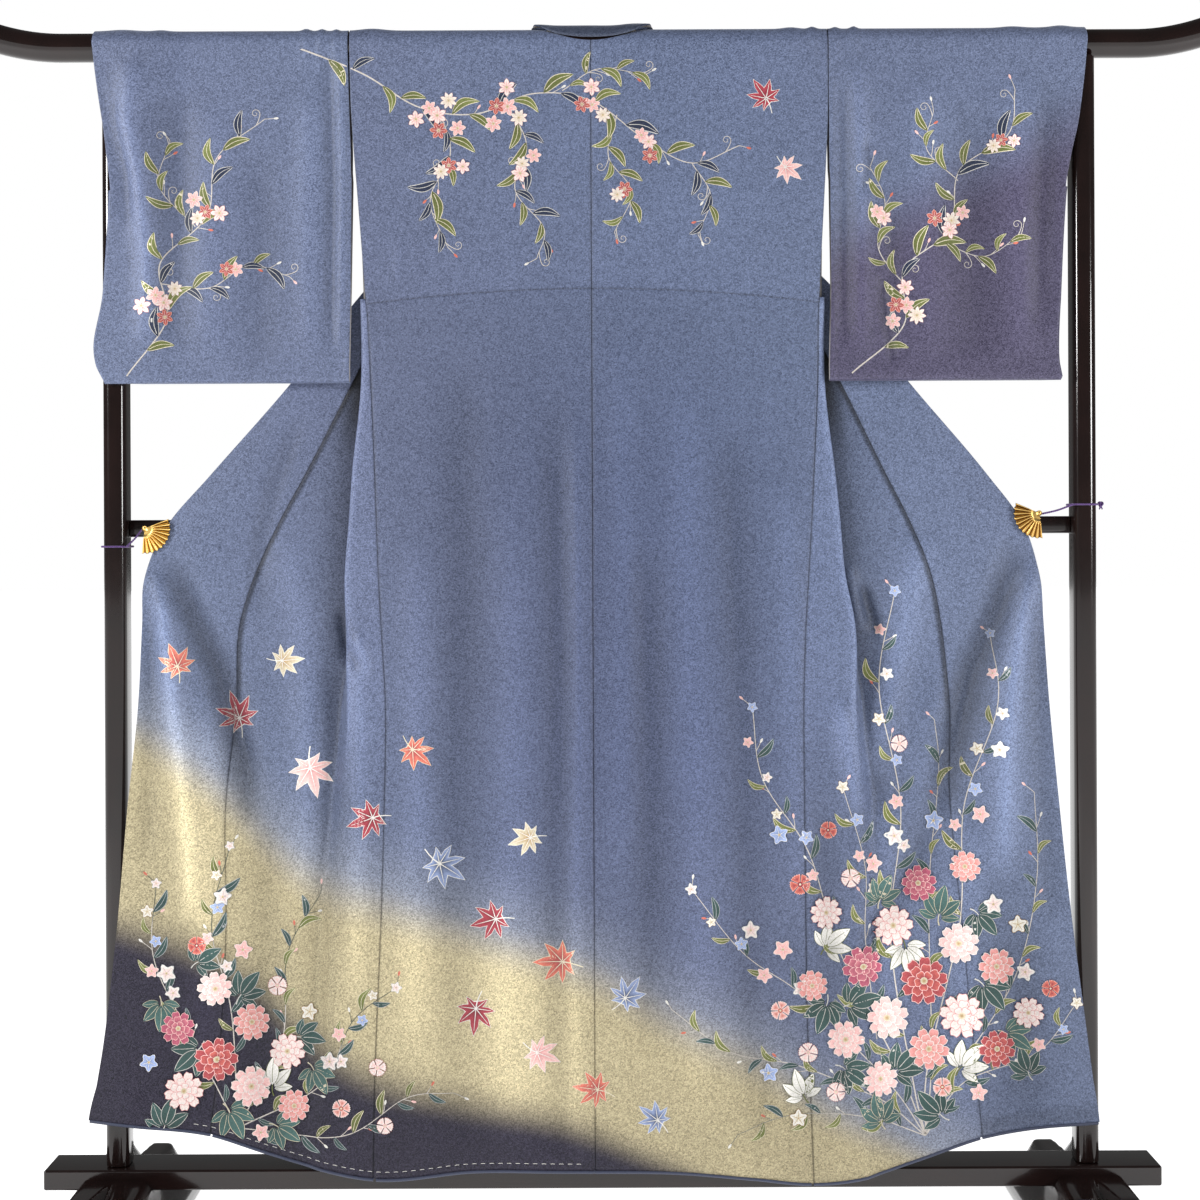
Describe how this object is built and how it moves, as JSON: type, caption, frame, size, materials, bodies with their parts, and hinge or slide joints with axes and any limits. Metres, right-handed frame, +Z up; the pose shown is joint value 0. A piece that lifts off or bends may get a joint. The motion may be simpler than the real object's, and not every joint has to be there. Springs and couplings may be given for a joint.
{
  "type": "kimono on a stand",
  "caption": "Formal dyed-silk kimono shown from its back on a lacquered stand, sleeves over the rod and both fronts drawn out sideways by fan-shaped clips.",
  "frame": {"origin": "on the floor, midway between the stand's feet", "axes": "+X along the rod to the right of a viewer who faces the kimono's back, +Y away from that viewer, +Z up"},
  "size_m": [1.7954, 0.38, 1.6954],
  "materials": {
    "silk_crepe": "dyed silk crepe, soft sheen",
    "hem_facing": "plain silk",
    "black_lacquer": "high-gloss lacquer",
    "gilt_metal": "gilt, satin",
    "purple_cord": "twisted silk cord"
  },
  "bodies": {
    "root": {"back_left": "silk_crepe", "back_right": "silk_crepe", "front_left": "silk_crepe", "front_right": "silk_crepe", "okumi_left": "silk_crepe", "okumi_right": "silk_crepe", "sleeve_left": "silk_crepe", "sleeve_right": "silk_crepe", "collar_left": "silk_crepe", "collar_neck": "silk_crepe", "collar_right": "silk_crepe", "hem_roll_back_left": "hem_facing", "hem_roll_back_right": "hem_facing", "hem_roll_front_left": "hem_facing", "hem_roll_front_right": "hem_facing", "hem_roll_okumi_left": "hem_facing", "hem_roll_okumi_right": "hem_facing", "rod": "black_lacquer", "post_left": "black_lacquer", "post_right": "black_lacquer", "crossbar": "black_lacquer", "plank": "black_lacquer", "foot_left": "black_lacquer", "foot_right": "black_lacquer", "fan_left": "gilt_metal", "fan_right": "gilt_metal", "jaw_left": "gilt_metal", "jaw_right": "gilt_metal", "barrel_left": "gilt_metal", "barrel_right": "gilt_metal", "tie_left": "purple_cord", "tie_right": "purple_cord", "link_left": "purple_cord", "link_right": "purple_cord", "knot": "purple_cord"}
  },
  "joints": []
}
